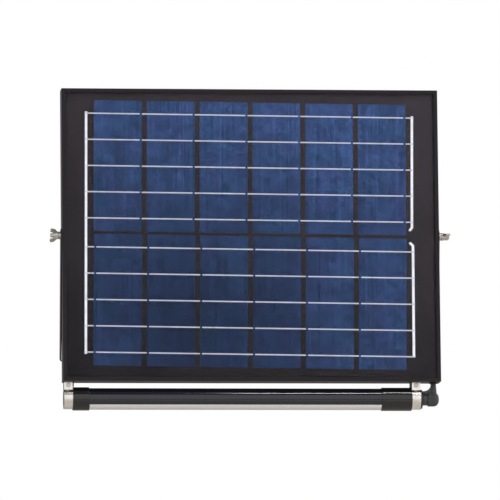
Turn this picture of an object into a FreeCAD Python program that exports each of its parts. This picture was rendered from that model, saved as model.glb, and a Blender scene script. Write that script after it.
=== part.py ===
"""Solar tube light: a framed solar panel on a tilting U-bracket, with a round LED tube hung under it.

Row frame, in millimetres: the origin is the middle of the bracket's mounting face, +X runs to the
right along the panel, +Y runs to the back and +Z runs up.  The bracket is square to this frame.
The panel and the tube are drawn in the panel's own frame, whose origin is the middle of the panel
on the tilt axis, with the glass facing -Y.  That frame leans back by REST_TILT in the row frame.
"""
import FreeCAD
import Part
import math
import os

V = FreeCAD.Vector
X_AXIS = V(1, 0, 0)
Y_AXIS = V(0, 1, 0)
Z_AXIS = V(0, 0, 1)

# Tilt bracket
REST_TILT = 9.0          # degrees that the panel leans back when it is folded onto its bracket
PIVOT_HEIGHT = 150.0     # tilt axis above the mounting face
STRAP_W = 16.0
STRAP_T = 1.2
ARM_GAP = 0.05           # between an arm and the side of the panel
MOUNT_SPACING = 200.0
MOUNT_HOLE_R = 3.25

# Panel frame: one aluminium section, mitred at the corners
PANEL_W = 450.0
PANEL_H = 350.0
PANEL_T = 25.0
WALL = 1.4
LIP_W = 4.3
LIP_T = 1.2
SHELF_W = 8.0
SHELF_DEPTH = 6.0        # front of the shelf, behind the front of the frame
SHELF_T = 1.2
FLANGE_W = 15.0
FRONT = -PANEL_T / 2
BACK = PANEL_T / 2

# Laminate, front to back
LAMINATE_INSET = 2.0     # its edge, inside the outer face of the frame
SEAL_T = 0.3
GLASS_T = 3.2
FRONT_FILM_T = 0.1       # clear film that cures into one with the glass
RIBBON_T = 0.15
CELL_T = 0.2
REAR_FILM_T = 0.35
SHEET_T = 0.3
GLASS_FRONT = FRONT + LIP_T + SEAL_T
GLASS_BACK = GLASS_FRONT + GLASS_T
RIBBON_FRONT = GLASS_BACK + FRONT_FILM_T
CELL_FRONT = RIBBON_FRONT + RIBBON_T
CELL_BACK = CELL_FRONT + CELL_T
SHEET_FRONT = CELL_BACK + REAR_FILM_T
SHEET_BACK = SHEET_FRONT + SHEET_T

# Solar cells: two strings of six, each laid by hand, so each lies a little askew in the frame
COLUMNS = 6
CELL_W = 57.2
CELL_H = 157.2
COLUMN_PITCH = 63.2
ROW_TURN = (0.56, 0.72)                        # upper and lower string, degrees, right end down
ROW_CENTRE = ((-0.2, 81.1), (-1.2, -79.9))     # x, z
BUSBARS = 5
BUSBAR_PITCH = CELL_H / BUSBARS
RIBBON_W = 1.5
RIBBON_STOP = 2.6        # bare end of each cell, where its ribbon stops short
RIBBON_TAIL = 50.0       # length soldered to the back of the next cell
RIBBON_OVER = 0.3        # past the outer edge of a bus ribbon
BUS_W = 3.0
BUS_LINES = {            # x and z of a point on the middle of each bus ribbon, and its lean in degrees
    "left": (-196.6, 0.0, 0.44),
    "upper": (193.9, 79.0, 0.75),
    "lower": (193.65, -80.0, 0.26),
}
LEFT_BUS_ENDS = (-142.5, 147.9)
RIGHT_BUS_ENDS = (144.1, -145.6)
EXIT_X = 190.4
EXIT_Z = (6.4, -8.5)     # where the two right-hand bus ribbons go back through the sheet

# Pivot hardware, M5
BOLT_R = 2.45
PIVOT_HOLE_R = 2.55
BOLT_HEAD_R = 5.0
BOLT_HEAD_T = 2.6
NECK_SQUARE = 5.0
BOLT_END = 238.4
FLAT_WASHER_T = 1.0
SPRING_WASHER_T = 1.4
NUT_TURN = {"left": 54.0, "right": 80.0}   # degrees that the wings stand from the panel's front plane
NUT_GAP = 0.1

# LED tube, hung under the bottom rail and parallel to it
TUBE_Y = 4.0
TUBE_Z = -194.8
TUBE_R = 12.85
HOUSING_T = 1.5
HOUSING_HALF = 127.0     # degrees each way from straight up that the black housing covers
TUBE_LEFT = -205.0
TUBE_RIGHT = 167.4
CAP_R = 13.9
CAP_BORE_R = 12.9
CORE_R = 11.5            # the part of each cap that turns in its clamp
LEFT_CAP_END = -193.3
RIGHT_CAP_END = 154.5
LED_COUNT = 24
LED_PITCH = 14.0

# Clamp bands
BAND_W = 10.2
BAND_T = 0.8
BAND_R = CORE_R + 0.1    # inner radius
LEFT_BAND_X = -218.4
RIGHT_BAND_X = 196.2
BAND_SIDE_GAP = 0.2
BLOCK_HALF = 6.0         # half the depth of the block between the two ears of a band
CLAMP_SCREW_Z = -178.8

# Elbow plug and lead
COLLAR_X0 = 204.0
COLLAR_X1 = 209.8
COLLAR_R = 7.4
STUB_R = 4.0
ELBOW_X0 = 210.1
ELBOW_X1 = 223.7
ELBOW_R = 8.6
WEB_X = 204.4            # end of the thin web beside the boot, clear of the turning cap
FLUTES = 18
LEAD_R = 2.65
LEAD_X = 217.4
GLAND_X = 174.0
LEAD_POINTS = ((LEAD_X, -190.2), (LEAD_X, -134.0), (GLAND_X, -92.0), (GLAND_X, -36.0))
RAIL_CLIP_Z = (-167.0, -161.0)
SHEET_CLIP_Z = (-66.6, -61.6)

# Control box, bonded to the back of the laminate
BOX_X0 = 77.0
BOX_X1 = 197.0
BOX_Z0 = -45.0
BOX_Z1 = 55.0
BOX_WALL = 2.5
TAPE_T = 0.5
BOX_FRONT = SHEET_BACK + TAPE_T
BOX_RIM = 18.0
GASKET_T = 0.6
LID_T = 2.6
FLOOR = BOX_FRONT + BOX_WALL
BOARD_Y = 2.0
BOARD_T = 1.6
BUTTON_X = 168.0
BUTTON_Z = 30.0
BUTTON_R = 6.0
BUTTON_TRAVEL = 1.5
SWITCH_T = 5.0
LENS_X = 168.0
LENS_Z = 12.0


# ---------------------------------------------------------------- helpers

def box(x0, x1, y0, y1, z0, z1):
    return Part.makeBox(x1 - x0, y1 - y0, z1 - z0, V(x0, y0, z0))


def rod(radius, start, end):
    along = V(*end) - V(*start)
    return Part.makeCylinder(radius, along.Length, V(*start), along)


def pipe(outer, inner, start, end):
    return rod(outer, start, end).cut(rod(inner, start, end))


def outline(points, place):
    """Closed wire through 2-D points; a third value in a point is that corner's radius."""
    corners = []
    for i, point in enumerate(points):
        here = V(point[0], point[1], 0)
        radius = point[2] if len(point) > 2 else 0.0
        if not radius:
            corners.append((here, None, here))
            continue
        before = (V(*points[i - 1][:2], 0) - here).normalize()
        after = (V(*points[(i + 1) % len(points)][:2], 0) - here).normalize()
        half = before.getAngle(after) / 2
        middle = (before + after).normalize()
        reach = radius / math.tan(half)
        crown = here + middle * (radius / math.sin(half) - radius)
        corners.append((here + before * reach, crown, here + after * reach))
    edges = []
    for i, (start, crown, end) in enumerate(corners):
        if crown is not None:
            edges.append(Part.Arc(*(place(p.x, p.y) for p in (start, crown, end))).toShape())
        following = corners[(i + 1) % len(corners)][0]
        if end.distanceToPoint(following) > 1e-6:
            edges.append(Part.LineSegment(place(end.x, end.y), place(following.x, following.y)).toShape())
    return Part.Wire(edges)


def prism(points, place, along):
    return Part.Face(outline(points, place)).extrude(along)


def turned_x(points, y=TUBE_Y, z=TUBE_Z):
    """Solid of revolution about a line along X, from (x, radius) points."""
    face = Part.Face(outline(points, lambda x, r: V(x, y, z + r)))
    return face.revolve(V(0, y, z), X_AXIS, 360)


def turned_z(points, x, y):
    """Solid of revolution about a line along Z, from (radius, z) points."""
    face = Part.Face(outline(points, lambda r, z: V(x + r, y, z)))
    return face.revolve(V(x, y, 0), Z_AXIS, 360)


def turned_y(points, x, z):
    """Solid of revolution about a line along Y, from (radius, y) points."""
    face = Part.Face(outline(points, lambda r, y: V(x + r, y, z)))
    return face.revolve(V(x, 0, z), Y_AXIS, 360)


def sector(outer, inner, start_deg, end_deg, x0, x1):
    """Part of a pipe about the tube's axis; angles are from straight up, positive to the back."""
    def at(radius, degrees):
        angle = math.radians(degrees)
        return V(x0, TUBE_Y + radius * math.sin(angle), TUBE_Z + radius * math.cos(angle))
    middle = (start_deg + end_deg) / 2
    edges = [
        Part.Arc(at(outer, start_deg), at(outer, middle), at(outer, end_deg)).toShape(),
        Part.LineSegment(at(outer, end_deg), at(inner, end_deg)).toShape(),
        Part.Arc(at(inner, end_deg), at(inner, middle), at(inner, start_deg)).toShape(),
        Part.LineSegment(at(inner, start_deg), at(outer, start_deg)).toShape(),
    ]
    return Part.Face(Part.Wire(edges)).extrude(V(x1 - x0, 0, 0))


def hexagon(flats, start, end):
    """Hexagonal prism between two points on a line along one axis."""
    base = V(*start)
    along = V(*end) - base
    side = Z_AXIS if abs(along.z) < 1e-9 else X_AXIS
    other = along.cross(side).normalize()
    radius = flats / math.sqrt(3)
    ring = [base + (side * math.cos(math.radians(60 * k)) + other * math.sin(math.radians(60 * k))) * radius
            for k in range(7)]
    return Part.Face(Part.makePolygon(ring)).extrude(along)


def mirrored_x(shape):
    return shape.mirror(V(0, 0, 0), X_AXIS)


def group(solids):
    return Part.makeCompound(solids)


def both_sides(shape):
    return group([mirrored_x(shape), shape])


# ---------------------------------------------------------------- tilt bracket and pivots

ARM_IN = PANEL_W / 2 + ARM_GAP
ARM_OUT = ARM_IN + STRAP_T
SPRING_X0 = ARM_OUT + FLAT_WASHER_T
NUT_X0 = SPRING_X0 + SPRING_WASHER_T + NUT_GAP


def u_bracket():
    top = PIVOT_HEIGHT + STRAP_W / 2
    half = STRAP_W / 2
    bend = 3.0
    strap = prism(
        [(-ARM_OUT, top), (-ARM_OUT, 0, bend), (ARM_OUT, 0, bend), (ARM_OUT, top),
         (ARM_IN, top), (ARM_IN, STRAP_T, bend - STRAP_T), (-ARM_IN, STRAP_T, bend - STRAP_T), (-ARM_IN, top)],
        lambda x, z: V(x, -half, z), V(0, STRAP_W, 0))
    round_ends = prism(
        [(-half, -1), (half, -1), (half, top, half), (-half, top, half)],
        lambda y, z: V(-ARM_OUT - 1, y, z), V(2 * ARM_OUT + 2, 0, 0))
    strap = strap.common(round_ends)
    strap = strap.cut(rod(PIVOT_HOLE_R, (-ARM_OUT - 1, 0, PIVOT_HEIGHT), (ARM_OUT + 1, 0, PIVOT_HEIGHT)))
    for side in (-1, 1):
        x = side * MOUNT_SPACING / 2
        strap = strap.cut(rod(MOUNT_HOLE_R, (x, 0, -1), (x, 0, STRAP_T + 1)))
    return strap


def pivot_washers():
    return both_sides(pipe(5.0, 2.7, (ARM_OUT, 0, PIVOT_HEIGHT), (SPRING_X0, 0, PIVOT_HEIGHT)))


def spring_washers():
    washer = pipe(4.4, 2.7, (SPRING_X0, 0, PIVOT_HEIGHT), (SPRING_X0 + SPRING_WASHER_T, 0, PIVOT_HEIGHT))
    split = box(SPRING_X0 - 1, SPRING_X0 + SPRING_WASHER_T + 1, -0.4, 0.4, PIVOT_HEIGHT, PIVOT_HEIGHT + 6)
    return both_sides(washer.cut(split))


def pivot_bolts():
    """Coach bolts, held against turning by a square neck in the side rails."""
    inside = PANEL_W / 2 - WALL
    head = turned_x([(inside - BOLT_HEAD_T, 0), (inside - BOLT_HEAD_T, BOLT_HEAD_R, 1.6),
                     (inside, BOLT_HEAD_R), (inside, 0)], 0, 0)
    half = NECK_SQUARE / 2
    neck = box(inside, PANEL_W / 2, -half, half, -half, half)
    shank = rod(BOLT_R, (inside, 0, 0), (BOLT_END, 0, 0))
    return both_sides(head.fuse([neck, shank]))


def wing_nut(side):
    """Wing nut on the right-hand bolt, or its mirror image on the left one."""
    hub = turned_x([(NUT_X0, PIVOT_HOLE_R), (NUT_X0, 4.75, 0.4), (NUT_X0 + 1.6, 4.6, 0.6),
                    (NUT_X0 + 6.6, 3.7, 0.5), (NUT_X0 + 6.6, PIVOT_HOLE_R)], 0, 0)
    wing = prism(
        [(NUT_X0 + 0.9, 2.9), (NUT_X0 + 1.6, 5.6, 1.5), (NUT_X0 + 5.2, 10.2, 2.0), (NUT_X0 + 9.6, 11.2, 1.6),
         (NUT_X0 + 10.4, 7.2, 1.6), (NUT_X0 + 6.8, 5.0, 2.0), (NUT_X0 + 6.2, 2.9)],
        lambda x, r: V(x, -0.9, r), V(0, 1.8, 0))
    other = wing.copy()
    other.rotate(V(0, 0, 0), X_AXIS, 180)
    nut = hub.fuse([wing, other])
    nut.rotate(V(0, 0, 0), X_AXIS, NUT_TURN[side])
    return nut if side == "right" else mirrored_x(nut)


# ---------------------------------------------------------------- panel frame

def rail(length, offset):
    """Bottom rail of a frame that is length wide, with its outer face offset below the middle."""
    section = [
        (0, 0, 0.4), (LIP_W, 0, 0.3), (LIP_W, LIP_T), (WALL, LIP_T), (WALL, SHELF_DEPTH), (SHELF_W, SHELF_DEPTH),
        (SHELF_W, SHELF_DEPTH + SHELF_T), (WALL, SHELF_DEPTH + SHELF_T), (WALL, PANEL_T - WALL),
        (FLANGE_W, PANEL_T - WALL), (FLANGE_W, PANEL_T, 0.3), (0, PANEL_T, 0.4)]
    bar = prism(section, lambda u, v: V(-length / 2, FRONT + v, u - offset), V(length, 0, 0))
    reach = FLANGE_W + 1
    mitre = prism(
        [(-length / 2, -offset), (length / 2, -offset),
         (length / 2 - reach, reach - offset), (-length / 2 + reach, reach - offset)],
        lambda x, z: V(x, FRONT - 1, z), V(0, PANEL_T + 2, 0))
    return bar.common(mitre)


def placed_rail(length, offset, quarter_turns):
    bar = rail(length, offset)
    bar.rotate(V(0, 0, 0), Y_AXIS, 90 * quarter_turns)
    return bar.cut(group(rivet_shanks(0.0)))


KEY_INSET = WALL + 0.2
KEY_LEG = 42.0
KEY_W = 12.0
KEY_T = 2.0
KEY_FRONT = BACK - WALL - KEY_T
RIVET_R = 1.6
RIVET_SPOTS = ((12.0, 7.6), (34.0, 7.6), (7.6, 34.0))


def corners():
    """(sign of x, sign of z) of the four corners."""
    return [(sx, sz) for sx in (-1, 1) for sz in (-1, 1)]


def in_corner(sx, sz):
    """Maps a distance in from the frame's two outer faces at one corner to x and z."""
    return lambda a, b: (sx * (PANEL_W / 2 - a), sz * (PANEL_H / 2 - b))


def rivet_shanks(head_r):
    """One rivet per spot and corner; head_r of 0 leaves only the shank."""
    rivets = []
    for sx, sz in corners():
        spot = in_corner(sx, sz)
        for a, b in RIVET_SPOTS:
            x, z = spot(a, b)
            shank = rod(RIVET_R, (x, KEY_FRONT, z), (x, BACK, z))
            if head_r:
                head = turned_y([(0, BACK), (head_r, BACK), (head_r, BACK + 0.7, 0.5), (0, BACK + 0.7)], x, z)
                shank = shank.fuse(head)
            rivets.append(shank)
    return rivets


def corner_keys():
    keys = []
    far = KEY_INSET + KEY_LEG
    near = KEY_INSET + KEY_W
    for sx, sz in corners():
        spot = in_corner(sx, sz)
        legs = [(KEY_INSET, KEY_INSET), (far, KEY_INSET), (far, near), (near, near), (near, far), (KEY_INSET, far)]
        flat = [spot(a, b) for a, b in legs]
        keys.append(prism(flat, lambda x, z: V(x, KEY_FRONT, z), V(0, KEY_T, 0)))
    return group(keys).cut(group(rivet_shanks(0.0)))


def frame_rivets():
    return group(rivet_shanks(2.6))


def bottom_rail():
    bar = placed_rail(PANEL_W, PANEL_H / 2, 0)
    low = -PANEL_H / 2
    for x in (LEFT_BAND_X, RIGHT_BAND_X):
        bar = bar.cut(rod(2.5, (x, TUBE_Y, low - 1), (x, TUBE_Y, low + WALL + 1)))
    return bar.cut(rod(4.2, (LEAD_X, TUBE_Y, low - 1), (LEAD_X, TUBE_Y, low + WALL + 1)))


def side_rail(side):
    bar = placed_rail(PANEL_H, PANEL_W / 2, 1 if side < 0 else 3)
    half = NECK_SQUARE / 2
    reach = PANEL_W / 2
    return bar.cut(box(*sorted((side * (reach - 5), side * (reach + 5))), -half, half, -half, half))


# ---------------------------------------------------------------- laminate

def plate(inset, y0, y1):
    half_w = PANEL_W / 2 - inset
    half_h = PANEL_H / 2 - inset
    return box(-half_w, half_w, y0, y1, -half_h, half_h)


def edge_seal():
    """U-section rubber tape round the edge of the laminate."""
    shelf = FRONT + SHELF_DEPTH
    outer = plate(WALL, FRONT + LIP_T, shelf)
    laminate = plate(LAMINATE_INSET, GLASS_FRONT, SHEET_BACK)
    front_window = plate(LIP_W + 0.6, FRONT, GLASS_FRONT)
    back_window = plate(SHELF_W - 0.5, SHEET_BACK, shelf + 1)
    return outer.cut([laminate, front_window, back_window])


def cover_glass():
    return plate(LAMINATE_INSET, GLASS_FRONT, GLASS_BACK)


def row_place(shape, row):
    """A string is laid out square about its own middle, then set askew in the frame."""
    x, z = ROW_CENTRE[row]
    shape.rotate(V(0, 0, 0), Y_AXIS, ROW_TURN[row])
    shape.translate(V(x, 0, z))
    return shape


def column_left(column):
    return (column - (COLUMNS - 1) / 2) * COLUMN_PITCH - CELL_W / 2


def busbar_heights():
    return [BUSBAR_PITCH * (k - (BUSBARS - 1) / 2) for k in range(BUSBARS)]


def solar_cells():
    half = CELL_H / 2
    return group([row_place(box(column_left(column), column_left(column) + CELL_W, CELL_FRONT, CELL_BACK, -half, half), row)
                  for row in range(2) for column in range(COLUMNS)])


def bus_x(bus, z):
    """X of the middle of a bus ribbon at height z."""
    x0, z0, lean = BUS_LINES[bus]
    return x0 + (z - z0) * math.tan(math.radians(lean))


def ribbon_end(row, bus, z, side):
    """X in the square layout of a string where its ribbon at height z ends, over the outer edge of a bus ribbon."""
    turn = math.radians(ROW_TURN[row])
    x0, z0 = ROW_CENTRE[row]
    middle = bus_x(bus, z0 + z - side * COLUMNS / 2 * COLUMN_PITCH * math.sin(turn))
    edge = middle + side * (BUS_W / 2 + RIBBON_OVER)
    return (edge - x0 - z * math.sin(turn)) / math.cos(turn)


def ribbon(path, z):
    """Flat strip through (x, front face) points, RIBBON_T thick and RIBBON_W wide."""
    back = [(x, y + RIBBON_T) for x, y in reversed(path)]
    return prism(list(path) + back, lambda x, y: V(x, y, z - RIBBON_W / 2), V(0, 0, RIBBON_W))


def ribbon_paths(row, z):
    """Each ribbon lies on the front of one cell and steps down behind the next. The two strings run opposite ways."""
    sign = (1, -1)[row]
    front_bus, back_bus = (("left", "upper"), ("lower", "left"))[row]
    step = 1.2
    paths = []
    for column in range(COLUMNS):
        left = column_left(column)
        start = (left + CELL_W - RIBBON_STOP, RIBBON_FRONT)
        if column == 0:
            paths.append((start, (sign * ribbon_end(row, front_bus, z, -sign), RIBBON_FRONT)))
            continue
        gap_left = column_left(column - 1) + CELL_W
        paths.append((start, (left - step, RIBBON_FRONT), (gap_left + step, CELL_BACK),
                      (gap_left - RIBBON_TAIL, CELL_BACK)))
    right = column_left(COLUMNS - 1) + CELL_W
    paths.append(((sign * ribbon_end(row, back_bus, z, sign), RIBBON_FRONT), (right + 3 * step, RIBBON_FRONT),
                  (right + step, CELL_BACK), (right - RIBBON_TAIL, CELL_BACK)))
    return [[(sign * x, y) for x, y in path] for path in paths]


def tab_ribbons():
    return group([row_place(ribbon(path, z), row) for row in range(2) for z in busbar_heights()
                  for path in ribbon_paths(row, z)])


def right_bus(row):
    """Right-hand bus ribbon of one string, bent over at its inner end to go back through the sheet."""
    bus = ("upper", "lower")[row]
    sign = (1, -1)[row]
    exit_z = EXIT_Z[row]
    start = exit_z + sign * 3.0
    end = RIGHT_BUS_ENDS[row]
    half = BUS_W / 2
    strip = prism(
        [(bus_x(bus, end) - half, end), (bus_x(bus, end) + half, end), (bus_x(bus, start) + half, start),
         (EXIT_X + 0.8, exit_z - sign * 1.2), (EXIT_X - 1.2, exit_z + sign * 0.9), (bus_x(bus, start) - half, start + sign)],
        lambda x, z: V(x, CELL_FRONT, z), V(0, CELL_T, 0))
    tab = box(EXIT_X - 0.9, EXIT_X + 0.9, CELL_FRONT, BOARD_Y, exit_z - 0.15, exit_z + 0.15)
    return strip.fuse(tab)


def bus_ribbons():
    half = BUS_W / 2
    low, high = LEFT_BUS_ENDS
    left = prism(
        [(bus_x("left", low) - half, low), (bus_x("left", low) + half, low),
         (bus_x("left", high) + half, high), (bus_x("left", high) - half, high)],
        lambda x, z: V(x, CELL_FRONT, z), V(0, CELL_T, 0))
    return group([left, right_bus(0), right_bus(1)])


def exit_slots(y0, y1):
    return group([box(EXIT_X - 1.5, EXIT_X + 1.5, y0, y1, z - 0.6, z + 0.6) for z in EXIT_Z])


def rear_film():
    """Black film bonded behind the cells, with a channel behind each line of ribbons."""
    film = plate(LAMINATE_INSET, CELL_BACK, SHEET_FRONT)
    reach = COLUMNS / 2 * COLUMN_PITCH + 6
    channels = [row_place(box(-reach, reach, CELL_BACK - 1, CELL_BACK + RIBBON_T, z - 0.9, z + 0.9), row)
                for row in range(2) for z in busbar_heights()]
    return film.cut([group(channels), exit_slots(CELL_BACK - 1, SHEET_FRONT + 1)])


def backsheet():
    sheet = plate(LAMINATE_INSET, SHEET_FRONT, SHEET_BACK)
    return sheet.cut(exit_slots(SHEET_FRONT - 1, SHEET_BACK + 1))


# ---------------------------------------------------------------- clamps that hang the tube

def band(centre_x):
    """Stainless band round one end of the tube, with an ear each side of the hanger block."""
    x0 = centre_x - BAND_W / 2
    x1 = centre_x + BAND_W / 2
    outer = BAND_R + BAND_T
    ear_in = BLOCK_HALF + 0.1
    ear_out = ear_in + BAND_T
    ring = pipe(outer, BAND_R, (x0, TUBE_Y, TUBE_Z), (x1, TUBE_Y, TUBE_Z))
    mouth = box(x0 - 1, x1 + 1, TUBE_Y - ear_in, TUBE_Y + ear_in, TUBE_Z, TUBE_Z + outer + 1)
    ring = ring.cut(mouth)
    top = -PANEL_H / 2 - 0.3
    ears = []
    for sign in (-1, 1):
        y0, y1 = sorted((TUBE_Y + sign * ear_in, TUBE_Y + sign * ear_out))
        ears.append(prism([(x0, TUBE_Z + 9.9), (x1, TUBE_Z + 9.9), (x1, top, 0.8), (x0, top, 0.8)],
                          lambda x, z, y=y0: V(x, y, z), V(0, y1 - y0, 0)))
    whole = ring.fuse(ears)
    hole = rod(1.6, (centre_x, TUBE_Y - 10, CLAMP_SCREW_Z), (centre_x, TUBE_Y + 10, CLAMP_SCREW_Z))
    return whole.cut(hole).removeSplitter()


def hanger_block(centre_x, inward):
    """Block under the bottom rail that a band closes on; its wide top faces the middle of the tube."""
    low = -PANEL_H / 2
    half = BAND_W / 2 - 0.2
    far = centre_x - inward * half
    near = centre_x + inward * half
    shoulder = centre_x + inward * (half + 1.7)
    deep = box(*sorted((far, near)), TUBE_Y - BLOCK_HALF, TUBE_Y + BLOCK_HALF, low - 9.0, low)
    wide = box(*sorted((far, shoulder)), TUBE_Y - BLOCK_HALF, TUBE_Y + BLOCK_HALF, low - 5.2, low)
    stud = rod(2.45, (centre_x, TUBE_Y, low), (centre_x, TUBE_Y, low + 7.0))
    saddle = rod(CORE_R + 0.3, (centre_x - 20, TUBE_Y, TUBE_Z), (centre_x + 20, TUBE_Y, TUBE_Z))
    cap_room = rod(CAP_R + 0.3, (centre_x + inward * (half + 0.1), TUBE_Y, TUBE_Z),
                   (centre_x + inward * 20, TUBE_Y, TUBE_Z))
    hole = rod(1.6, (centre_x, TUBE_Y - 10, CLAMP_SCREW_Z), (centre_x, TUBE_Y + 10, CLAMP_SCREW_Z))
    return deep.fuse([wide, stud]).cut([saddle, cap_room, hole])


def hanger_blocks():
    return group([hanger_block(LEFT_BAND_X, 1), hanger_block(RIGHT_BAND_X, -1)])


def hanger_nuts():
    floor = -PANEL_H / 2 + WALL
    nuts = []
    for x in (LEFT_BAND_X, RIGHT_BAND_X):
        nut = hexagon(8.0, (x, TUBE_Y, floor), (x, TUBE_Y, floor + 4.0))
        nuts.append(nut.cut(rod(2.5, (x, TUBE_Y, floor), (x, TUBE_Y, floor + 4.0))))
    return group(nuts)


def clamp_screws():
    face = TUBE_Y - BLOCK_HALF - 0.1 - BAND_T
    screws = []
    for x in (LEFT_BAND_X, RIGHT_BAND_X):
        head = turned_y([(0, face), (2.6, face), (2.6, face - 1.9, 0.7), (0, face - 1.9)], x, CLAMP_SCREW_Z)
        socket = hexagon(2.0, (x, face - 2.5, CLAMP_SCREW_Z), (x, face - 0.9, CLAMP_SCREW_Z))
        shank = rod(1.5, (x, face, CLAMP_SCREW_Z), (x, TUBE_Y + 10.2, CLAMP_SCREW_Z))
        screws.append(head.fuse(shank).cut(socket))
    return group(screws)


def clamp_nuts():
    face = TUBE_Y + BLOCK_HALF + 0.1 + BAND_T
    nuts = []
    for x in (LEFT_BAND_X, RIGHT_BAND_X):
        ends = ((x, face, CLAMP_SCREW_Z), (x, face + 2.4, CLAMP_SCREW_Z))
        nuts.append(hexagon(5.5, *ends).cut(rod(1.55, *ends)))
    return group(nuts)


# ---------------------------------------------------------------- LED tube

WEB_TOP = TUBE_Z - 3.0
WEB_BOTTOM = TUBE_Z - 4.5
BOARD_BOTTOM = WEB_BOTTOM - 1.2
COVER_IN_R = TUBE_R - 1.7
TONGUE_R = TUBE_R - HOUSING_T - 0.1


def tube_housing():
    """Black aluminium upper shell with a flat web that carries the LED board."""
    shell = sector(TUBE_R, TUBE_R - HOUSING_T, -HOUSING_HALF, HOUSING_HALF, TUBE_LEFT, TUBE_RIGHT)
    web = box(TUBE_LEFT, TUBE_RIGHT, TUBE_Y - 11.2, TUBE_Y + 11.2, WEB_BOTTOM, WEB_TOP)
    return shell.fuse(web).removeSplitter()


def tube_cover():
    """Clear lower shell; a tongue along each edge slides inside the housing."""
    start = HOUSING_HALF + 0.6
    shell = sector(TUBE_R, COVER_IN_R, start, 360 - start, TUBE_LEFT, TUBE_RIGHT)
    tongues = [sector(TONGUE_R, TONGUE_R - 0.9, mid - 4.7, mid + 4.7, TUBE_LEFT, TUBE_RIGHT)
               for mid in (HOUSING_HALF + 1.5, 358.5 - HOUSING_HALF)]
    return shell.fuse(tongues).removeSplitter()


def led_board():
    return box(-189.0, 151.0, TUBE_Y - 8.0, TUBE_Y + 8.0, BOARD_BOTTOM, WEB_BOTTOM)


def led_chips():
    middle = (LEFT_CAP_END + RIGHT_CAP_END) / 2
    chips = []
    for k in range(LED_COUNT):
        x = middle + (k - (LED_COUNT - 1) / 2) * LED_PITCH
        chips.append(box(x - 1.75, x + 1.75, TUBE_Y - 1.4, TUBE_Y + 1.4, BOARD_BOTTOM - 0.8, BOARD_BOTTOM))
    return group(chips)


def end_stops():
    """Slanted black clips that close the clear cover just inside each cap."""
    solids = []
    for x, into in ((LEFT_CAP_END, 1), (RIGHT_CAP_END, -1)):
        wedge = prism(
            [(x - into * 6, TUBE_Z - 6.2), (x + into * 1.2, TUBE_Z - 6.2), (x + into * 3.6, TUBE_Z - 10.2),
             (x - into * 6, TUBE_Z - 10.2)],
            lambda a, b: V(a, TUBE_Y - 2.2, b), V(0, 4.4, 0))
        solids.append(wedge)
    return group(solids)


def left_end_cap():
    core_x0 = LEFT_BAND_X - BAND_W / 2
    core_x1 = LEFT_BAND_X + BAND_W / 2 + BAND_SIDE_GAP
    return turned_x([
        (core_x0, 0), (core_x0, CORE_R, 0.8), (core_x1, CORE_R), (core_x1, CAP_R, 0.7), (LEFT_CAP_END, CAP_R, 0.9),
        (LEFT_CAP_END, CAP_BORE_R), (TUBE_LEFT - 1, CAP_BORE_R), (TUBE_LEFT - 1, 9.5), (core_x0 + 3, 9.5),
        (core_x0 + 3, 0)])


def right_end_cap():
    core_x0 = RIGHT_BAND_X - BAND_W / 2 - BAND_SIDE_GAP
    core_x1 = RIGHT_BAND_X + BAND_W / 2 + BAND_SIDE_GAP
    return turned_x([
        (RIGHT_CAP_END, CAP_BORE_R), (RIGHT_CAP_END, CAP_R, 0.9), (core_x0, CAP_R, 0.7), (core_x0, CORE_R),
        (core_x1, CORE_R), (core_x1, CORE_R + 0.4), (COLLAR_X0, CORE_R + 0.4, 2.2), (COLLAR_X0, 5.05),
        (COLLAR_X0 - 4, 5.05), (COLLAR_X0 - 4, 9.5), (TUBE_RIGHT + 1, 9.5), (TUBE_RIGHT + 1, CAP_BORE_R)])


def cap_seals():
    seals = []
    for x in (TUBE_LEFT - 1, TUBE_RIGHT):
        seals.append(pipe(12.8, 9.6, (x, TUBE_Y, TUBE_Z), (x + 1, TUBE_Y, TUBE_Z)))
    return group(seals)


def inlet_socket():
    """Coaxial inlet in the right cap; its barrel turns inside the elbow plug."""
    return turned_x([
        (COLLAR_X0 - 13, 1.05), (COLLAR_X0 - 13, 5.0, 0.5), (COLLAR_X0, 5.0), (COLLAR_X0, COLLAR_R, 0.6),
        (COLLAR_X1, COLLAR_R, 0.8), (COLLAR_X1, STUB_R), (COLLAR_X1 + 6, STUB_R, 0.4), (COLLAR_X1 + 6, 3.0),
        (COLLAR_X1, 3.0), (COLLAR_X1, 1.05)])


def socket_pin():
    return rod(1.0, (COLLAR_X0 - 16, TUBE_Y, TUBE_Z), (COLLAR_X1 + 5, TUBE_Y, TUBE_Z))


def socket_nut():
    ends = ((COLLAR_X0 - 8, TUBE_Y, TUBE_Z), (COLLAR_X0 - 4, TUBE_Y, TUBE_Z))
    return hexagon(14.0, *ends).cut(rod(5.05, *ends))


def tube_wires():
    """Two short wires from the inlet to the end of the LED board."""
    wires = []
    for side in (-1, 1):
        y = TUBE_Y + side * 3.2
        start = V(150.0, y, BOARD_BOTTOM - 0.7)
        down = V(167.5, y, BOARD_BOTTOM - 0.7)
        up = V(179.5, y, TUBE_Z + side * 0.4)
        end = V(COLLAR_X0 - 14, y, TUBE_Z + side * 0.4)
        wires.append(bent_rod([start, down, up, end], 0.6))
    return group(wires)


# ---------------------------------------------------------------- elbow plug and lead

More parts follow.
